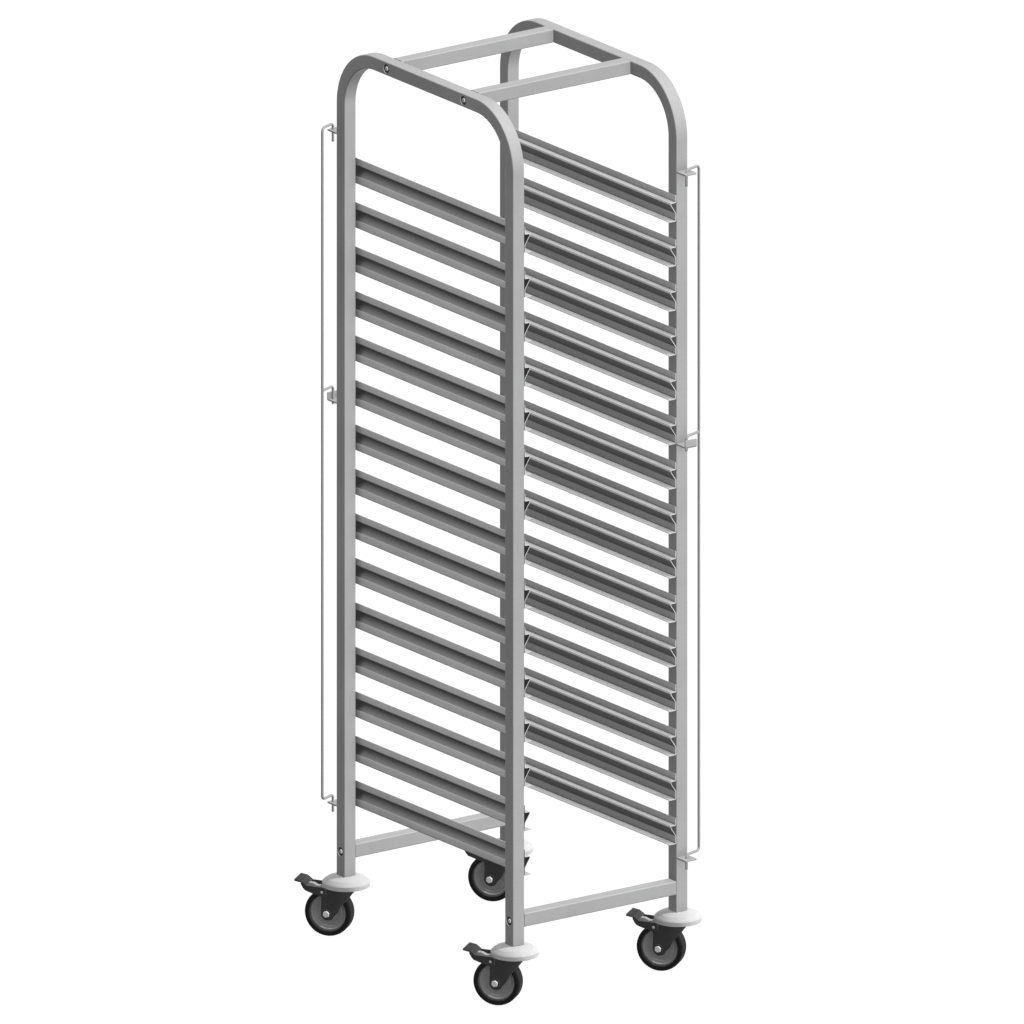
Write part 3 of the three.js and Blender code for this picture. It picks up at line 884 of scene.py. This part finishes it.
def build_latch_tabs(name):
    latch = LATCHES[name]
    end = latch["end"]
    pin, _ = latch_axes(name)
    low_x = hoop_x[latch["side"]] - TUBE / 2
    high_x = low_x + TUBE
    leg_face = front_y if end < 0 else rear_y
    tip_y = leg_face + end * TAB_REACH
    for hook in HOOKS:
        top_z = latch[hook][0] * MM
        corners = [(low_x, leg_face), (high_x, leg_face), (high_x, tip_y), (low_x, tip_y)]
        if end > 0:
            corners.reverse()
        rounded = filleted(corners, TAB_CORNER, 4)
        half = len(rounded) // 2
        outline = rounded[:half] + corners[2:] if end > 0 else corners[:2] + rounded[half:]
        mesh = plate(outline, top_z - TAB_THICKNESS, top_z)
        hole = peg("z", TAB_HOLE, 4 * TAB_THICKNESS, Vector((*pin, top_z)), sides=28)
        piece(f"{name}_tab_{hook}", mesh, "frame", TUBE_STEEL, bevel=0.35 * MM,
              cutters=[hole])
        weld_z = top_z - TAB_THICKNESS
        weld = bead(
            Vector((low_x + TAB_WELD_INSET, leg_face, weld_z)),
            Vector((high_x - TAB_WELD_INSET, leg_face, weld_z)),
            TAB_WELD_RADIUS,
        )
        piece(f"{name}_tab_{hook}_weld", weld, "frame", WELD)
    lip_inner = tip_y - end * LIP_THICKNESS
    bottom_z = latch["middle"][0] * MM - TAB_THICKNESS
    lip_z = bottom_z + TAB_THICKNESS + LIP_HEIGHT
    lip_corners = [(low_x, bottom_z), (high_x, bottom_z), (high_x, lip_z), (low_x, lip_z)]
    lip_outline = filleted(lip_corners, LIP_CORNER, 4)
    lip = slab(lip_outline, min(lip_inner, tip_y), max(lip_inner, tip_y))
    piece(f"{name}_tab_lip", lip, "frame", TUBE_STEEL, bevel=0.4 * MM)


for latch_name in LATCHES:
    build_latch_bar(latch_name)
    build_latch_tabs(latch_name)

# ---- Casters ----------------------------------------------------------------------------------------

# Drawn in millimetres, in the caster's own frame: x is forward from the swivel axis, y runs along the
# axle and z is the height above the floor.
WHEEL_X, WHEEL_Z, WHEEL_RADIUS, WHEEL_HALF = -30.5, 43.0, 43.0, 14.0
CORE_RADIUS = 33.0
CHEEK_OUTER, CHEEK_SHEET = 18.0, 2.4
CHEEK_BEND_X = -15.0
PIVOT_X, PIVOT_Z = -39.0, 82.5
PEDAL_OUTER, PEDAL_SHEET = 20.6, 2.0
CHEEK_CURVE = 0.0105
LOBE_X, LOBE_RADIUS = WHEEL_X + 1.5, 12.5
CROWN_BOTTOM, CROWN_TOP = 87.6, 90.9
TREAD_RIBS = 8
RIVET_GAP = 0.1
WASHER, THREAD_END = 1.2, 2.0
NEAR_AND_FAR = (("near", -1), ("far", 1))


def caster_matrix(corner):
    """From the caster's own millimetres to the frame's metres."""
    swivel = Vector(joints[f"{corner}_swivel"]["pos_m"])
    along_axle = Vector(joints[f"{corner}_roll"]["axis"]).normalized()
    forward = along_axle.cross(Vector((0, 0, 1)))
    rotation = Matrix((forward, along_axle, Vector((0, 0, 1)))).transposed().to_4x4()
    return Matrix.Translation((swivel.x, swivel.y, 0)) @ rotation @ Matrix.Scale(MM, 4)


def caster_piece(corner, name, mesh, body, material, stands_for=(), bevel=0.0, sharp=35):
    turn_to(mesh, caster_matrix(corner))
    return piece(f"{corner}_{name}", mesh, body, material, stands_for, bevel * MM, sharp=sharp)


def along_y(mesh, x, z):
    """Lays something turned about Z along the caster's Y axis, at the given place."""
    turn_to(mesh, Matrix.Rotation(-math.pi / 2, 4, "X"))
    return shift(mesh, Vector((x, 0, z)))


def onto_side(mesh, sign, x, out, z):
    """Lays something turned about Z onto the caster's near (-1) or far (1) side, out from its middle."""
    turn_to(mesh, Matrix.Rotation(-sign * math.pi / 2, 4, "X"))
    return shift(mesh, Vector((x, sign * out, z)))


def build_bumper(corner):
    profile = filleted([
        (13.5, 95.3),
        (30.0, 95.3),
        (31.5, 98.6),
        (38.5, 98.2),
        (39.5, 93.8),
        (42.5, 93.8),
        (42.5, 101.4),
        (40.5, 103.6),
        (34.0, 108.4),
        (24.0, 111.9),
        (13.5, 113.4),
    ], 0.7, 4)
    caster_piece(corner, "bumper_cap", turned(profile, 96), "frame", BUMPER_PLASTIC,
                 [f"{corner}_bumper"])


def cheek(sign):
    """One pressed cheek: flat at the rear, curving in towards the middle at its leading edge."""
    lobe = [
        (LOBE_X + LOBE_RADIUS * math.cos(angle), WHEEL_Z + LOBE_RADIUS * math.sin(angle))
        for angle in [math.pi * (0.94 + 0.94 * step / 24) for step in range(25)]
    ]
    rear_x = LOBE_X - 11.6
    outline = filleted([(rear_x, 75), (-46, 80), (-46, 88.5)], 4, 4, closed=False)[::-1]
    outline += [(rear_x, 58)] + lobe
    outline += filleted([(-9, 48), (-3, 60), (6, 72), (14, 82), (14, 88.5)], 9, 5, closed=False)
    mesh = slab(outline, CHEEK_OUTER - CHEEK_SHEET, CHEEK_OUTER)
    for x in [CHEEK_BEND_X + 2.5 * step for step in range(12)]:
        everything = mesh.verts[:] + mesh.edges[:] + mesh.faces[:]
        bmesh.ops.bisect_plane(mesh, geom=everything, plane_co=(x, 0, 0), plane_no=(1, 0, 0))
    for vertex in mesh.verts:
        past = max(0.0, vertex.co.x - CHEEK_BEND_X)
        vertex.co.y -= CHEEK_CURVE * past * past
        vertex.co.y *= sign
    return mesh


def crown_outline():
    """The plan of the fork's crown, which follows the outside of both cheeks."""
    side = []
    for step in range(13):
        x = CHEEK_BEND_X + 29 * step / 12
        side.append((x, CHEEK_OUTER - CHEEK_CURVE * (x - CHEEK_BEND_X) ** 2))
    upper = [(-46, CHEEK_OUTER)] + side
    lower = [(x, -y) for x, y in upper][::-1]
    return filleted(upper + lower, 2.5, 4)


def build_fork(corner):
    body = f"{corner}_caster"
    for side_name, sign in NEAR_AND_FAR:
        caster_piece(corner, f"fork_cheek_{side_name}", cheek(sign), body, BLACK_STEEL,
                     [f"{corner}_fork"], bevel=0.5)
    crown = plate(crown_outline(), CROWN_BOTTOM, CROWN_TOP)
    caster_piece(corner, "fork_crown", crown, body, BLACK_STEEL, bevel=0.9)
    race_profile = [(2, 90.5), (25, 90.5), (25, 92.0), (22.5, 92.6), (22.5, 94.9), (2, 94.9)]
    race = turned(filleted(race_profile, 0.6, 4), 72)
    caster_piece(corner, "swivel_race", race, body, BLACK_STEEL)
    for side_name, sign in NEAR_AND_FAR:
        dome = filleted([(0.05, 0), (2.6, 0), (2.5, 0.7), (1.8, 1.2), (0.05, 1.3)], 0.5, 3)
        rivet = onto_side(turned(dome, 28), sign, PIVOT_X, PEDAL_OUTER + RIVET_GAP, PIVOT_Z)
        caster_piece(corner, f"pedal_rivet_{side_name}", rivet, body, WIRE_STEEL)


def build_axle(corner):
    """The axle bolt: a chamfered hexagon head on the near side, a nut and a thread end on the far side."""
    body = f"{corner}_caster"
    for name, sign, height in (("axle_head", -1, 4.2), ("axle_nut", 1, 4.6)):
        washer = turned(filleted([(4.5, 0), (8.4, 0), (8.4, WASHER), (4.5, WASHER)], 0.3, 2), 40)
        onto_side(washer, sign, WHEEL_X, CHEEK_OUTER, WHEEL_Z)
        caster_piece(corner, f"{name}_washer", washer, body, BLACK_STEEL)
        hexagon = plate(circle(6.0, 6, math.radians(20)), WASHER, WASHER + height)
        if sign > 0:
            plate(circle(3.9, 24), WASHER + height, WASHER + height + THREAD_END, mesh=hexagon)
        onto_side(hexagon, sign, WHEEL_X, CHEEK_OUTER, WHEEL_Z)
        stands_for = [f"{corner}_axle"] if sign < 0 else []
        caster_piece(corner, name, hexagon, body, ZINC, stands_for, bevel=0.6)
    shaft_profile = [(0.05, -CHEEK_OUTER), (4.6, -CHEEK_OUTER), (4.6, CHEEK_OUTER), (0.05, CHEEK_OUTER)]
    shaft = along_y(turned(shaft_profile, 32), WHEEL_X, WHEEL_Z)
    caster_piece(corner, "axle_shaft", shaft, body, ZINC)


def mirrored_profile(upper):
    """Closes a wheel profile by repeating its upper half below the middle plane."""
    return upper + [(radius, -height) for radius, height in reversed(upper)]


def build_wheel(corner):
    body = f"{corner}_rolling_wheel"
    half = WHEEL_HALF
    core_half = [
        (CORE_RADIUS + 0.6, half - 7.2),
        (CORE_RADIUS - 0.4, half - 6.4),
        (CORE_RADIUS - 2.0, half - 6.4),
        (CORE_RADIUS - 2.9, half - 8.6),
        (26.0, half - 9.2),
        (25.4, half - 9.9),
        (23.9, half - 9.9),
        (23.3, half - 9.3),
        (15.0, half - 8.4),
        (12.4, half - 7.6),
        (11.2, half + 0.6),
        (10.2, half + 1.0),
        (5.4, half + 1.0),
    ]
    core = turned(filleted(mirrored_profile(core_half), 0.7, 3), 96)
    caster_piece(corner, "wheel_core", along_y(core, WHEEL_X, WHEEL_Z), body, CORE_PLASTIC,
                 [f"{corner}_wheel"])
    tyre_half = [
        (WHEEL_RADIUS, 0.4),
        (WHEEL_RADIUS, 9.0),
        (WHEEL_RADIUS - 0.5, 11.5),
        (WHEEL_RADIUS - 2.6, half),
        (WHEEL_RADIUS - 6.4, half),
        (WHEEL_RADIUS - 7.0, half - 0.5),
        (WHEEL_RADIUS - 7.6, half),
        (CORE_RADIUS + 1.6, half),
        (CORE_RADIUS + 0.65, half - 1.0),
        (CORE_RADIUS + 0.65, 0.4),
    ]
    tyre = turned(filleted(mirrored_profile(tyre_half), 2.2, 5), 112)
    caster_piece(corner, "wheel_tyre", along_y(tyre, WHEEL_X, WHEEL_Z), body, RUBBER)


def build_pedal(corner):
    body = f"{corner}_pedal"
    side_outline = filleted([
        (PIVOT_X + 8, 77.5),
        (PIVOT_X + 8, 88.0),
        (PIVOT_X + 3, 91.5),
        (-69.0, 92.7),
        (-77.0, 98.0),
        (-78.5, 96.0),
        (-74.5, 88.5),
        (-70.0, 83.5),
        (-58.0, 79.5),
        (PIVOT_X + 2, 73.5),
    ], 3.0, 5)
    for side_name, start, end in (
        ("near", -PEDAL_OUTER, PEDAL_SHEET - PEDAL_OUTER),
        ("far", PEDAL_OUTER - PEDAL_SHEET, PEDAL_OUTER),
    ):
        stands_for = [f"{corner}_brake_pedal"] if side_name == "near" else []
        side = slab(side_outline, start, end)
        caster_piece(corner, f"pedal_side_{side_name}", side, body, BLACK_STEEL, stands_for,
                     bevel=0.45)
    web_line = filleted([(-73.5, 95.5), (-70.5, 88.0), (-65.5, 83.3), (-54.0, 83.3)], 4, 6, closed=False)
    web = slab(thickened(web_line, 2.0), -PEDAL_OUTER + 0.4, PEDAL_OUTER - 0.4)
    caster_piece(corner, "pedal_web", web, body, BLACK_STEEL, bevel=0.4)

    tread_line = filleted([(-68.5, 92.1), (-77.0, 98.5), (-90.0, 100.7)], 2.5, 5, closed=False)
    tread = slab(thickened(tread_line, 2.6), -PEDAL_OUTER, PEDAL_OUTER)
    for rib in range(TREAD_RIBS):
        middle = (rib + 0.5) / TREAD_RIBS * 2 * PEDAL_OUTER - PEDAL_OUTER
        rib_line = [(x, z + 1.7) for x, z in tread_line]
        slab(thickened(rib_line, 1.2), middle - 1.3, middle + 1.3, mesh=tread)
    caster_piece(corner, "pedal_tread", tread, body, BLACK_PLASTIC, bevel=0.35)

    spring_line = filleted([(-44.0, 89.6), (-52.0, 89.0), (-60.0, 92.9), (-67.5, 93.4)], 3, 5, closed=False)
    spring = slab(thickened(spring_line, 0.9), -4.5, 4.5)
    caster_piece(corner, "pedal_spring", spring, body, WIRE_STEEL, bevel=0.2)


for corner_name in CORNERS:
    build_bumper(corner_name)
    build_fork(corner_name)
    build_axle(corner_name)
    build_wheel(corner_name)
    build_pedal(corner_name)

# ---- Floor, light and camera ------------------------------------------------------------------------

VIEW_AZIMUTH = math.radians(-35.6)
VIEW_ELEVATION = math.radians(17.16)
KEY_AZIMUTH = math.radians(54)
KEY_ELEVATION = math.radians(42)
KEY_ENERGY = 2.4
KEY_ANGLE = math.radians(1.5)
FLOOR_HALF = 30
FLOOR_GREY = 0.86
FLOOR_GLOW = 1.15
FLOOR_GLOW_SHARE = 0.82
STUDIO_BASE = 0.83
STUDIO_TOWARDS_KEY = 0.42
STUDIO_UPWARDS = 0.58
STUDIO_DARKEST = 0.05
STUDIO_FILL = 0.42
CAMERA_WIDTH = 1.8105
CAMERA_RISE = 0.7802
CAMERA_DISTANCE = 8
CAMERA_CLIP_END = 100


def direction(azimuth, elevation):
    """From the object towards a viewer or a lamp. Azimuth 0 is the front."""
    flat = math.cos(elevation)
    return Vector((math.sin(azimuth) * flat, -math.cos(azimuth) * flat, math.sin(elevation)))


def build_floor():
    mesh = bmesh.new()
    half = FLOOR_HALF
    corners = [(-half, -half, 0), (half, -half, 0), (half, half, 0), (-half, half, 0)]
    mesh.faces.new([mesh.verts.new(corner) for corner in corners])
    data = bpy.data.meshes.new("floor")
    mesh.to_mesh(data)
    mesh.free()
    floor = bpy.data.objects.new("floor", data)
    scene.collection.objects.link(floor)
    recipe = Recipe("pale_floor")
    recipe.fix(Base_Color=(*grey(FLOOR_GREY), 1), Roughness=0.9)
    glow = recipe.add("ShaderNodeEmission")
    glow.inputs["Strength"].default_value = FLOOR_GLOW
    mixed = recipe.add("ShaderNodeMixShader")
    mixed.inputs["Fac"].default_value = FLOOR_GLOW_SHARE
    recipe.links.new(recipe.shader.outputs["BSDF"], mixed.inputs[1])
    recipe.links.new(glow.outputs["Emission"], mixed.inputs[2])
    recipe.links.new(mixed.outputs["Shader"], recipe.nodes["Material Output"].inputs["Surface"])
    data.materials.append(recipe.material)
    floor.visible_glossy = False
    floor.visible_diffuse = False
    return floor


def build_world():
    """A studio that grows brighter upwards and towards the key light, and is white behind the object."""
    world = bpy.data.worlds.new("studio")
    scene.world = world
    world.use_nodes = True
    nodes, links = world.node_tree.nodes, world.node_tree.links
    surface = nodes["Background"]
    surface.inputs["Color"].default_value = (1, 1, 1, 1)

    def join(operation, first, second):
        return math_node(world.node_tree, operation, first, second)

    def facing(towards):
        node = nodes.new("ShaderNodeVectorMath")
        node.operation = "DOT_PRODUCT"
        links.new(coordinates.outputs["Generated"], node.inputs[0])
        node.inputs[1].default_value = towards
        return node.outputs["Value"]

    coordinates = nodes.new("ShaderNodeTexCoord")
    path = nodes.new("ShaderNodeLightPath")
    diffuse_ray, camera_ray = path.outputs["Is Diffuse Ray"], path.outputs["Is Camera Ray"]
    towards_key = join("MULTIPLY", facing(direction(KEY_AZIMUTH, 0)), STUDIO_TOWARDS_KEY)
    upwards = join("MULTIPLY", facing((0, 0, 1)), STUDIO_UPWARDS)
    studio = join("ADD", join("ADD", towards_key, upwards), STUDIO_BASE)
    studio = join("MAXIMUM", studio, STUDIO_DARKEST)
    fill = join("MULTIPLY", studio, STUDIO_FILL)
    mirrored = join("MULTIPLY", studio, join("SUBTRACT", 1.0, diffuse_ray))
    seen = join("ADD", mirrored, join("MULTIPLY", fill, diffuse_ray))
    behind = join("MULTIPLY", seen, join("SUBTRACT", 1.0, camera_ray))
    links.new(join("ADD", behind, camera_ray), surface.inputs["Strength"])


def build_key_light(floor):
    """The key light. It leaves the floor alone, and only hoops and bumpers cast its shadows."""
    lamp = bpy.data.lights.new("key", "SUN")
    lamp.energy = KEY_ENERGY
    lamp.angle = KEY_ANGLE
    key = bpy.data.objects.new("key", lamp)
    key.rotation_euler = direction(KEY_AZIMUTH, KEY_ELEVATION).to_track_quat("Z", "Y").to_euler()
    scene.collection.objects.link(key)
    receivers = bpy.data.collections.new("key_light_receivers")
    receivers.objects.link(floor)
    receivers.collection_objects[0].light_linking.link_state = "EXCLUDE"
    key.light_linking.receiver_collection = receivers
    blockers = bpy.data.collections.new("key_light_blockers")
    for made in scene.objects:
        if made.name.endswith(("hoop_tube", "bumper_cap")):
            blockers.objects.link(made)
    key.light_linking.blocker_collection = blockers
    key.visible_glossy = False


def build_camera():
    camera_data = bpy.data.cameras.new("camera")
    camera_data.type = "ORTHO"
    camera_data.ortho_scale = CAMERA_WIDTH
    camera_data.clip_end = CAMERA_CLIP_END
    camera = bpy.data.objects.new("camera", camera_data)
    scene.collection.objects.link(camera)
    towards = direction(VIEW_AZIMUTH, VIEW_ELEVATION)
    up = Vector((
        -math.sin(VIEW_AZIMUTH) * math.sin(VIEW_ELEVATION),
        math.cos(VIEW_AZIMUTH) * math.sin(VIEW_ELEVATION),
        math.cos(VIEW_ELEVATION),
    ))
    middle = frame_centre + up * CAMERA_RISE
    camera.location = middle + towards * CAMERA_DISTANCE
    camera.rotation_euler = towards.to_track_quat("Z", "Y").to_euler()
    scene.camera = camera


build_world()
build_key_light(build_floor())
build_camera()
scene.view_settings.view_transform = "Standard"
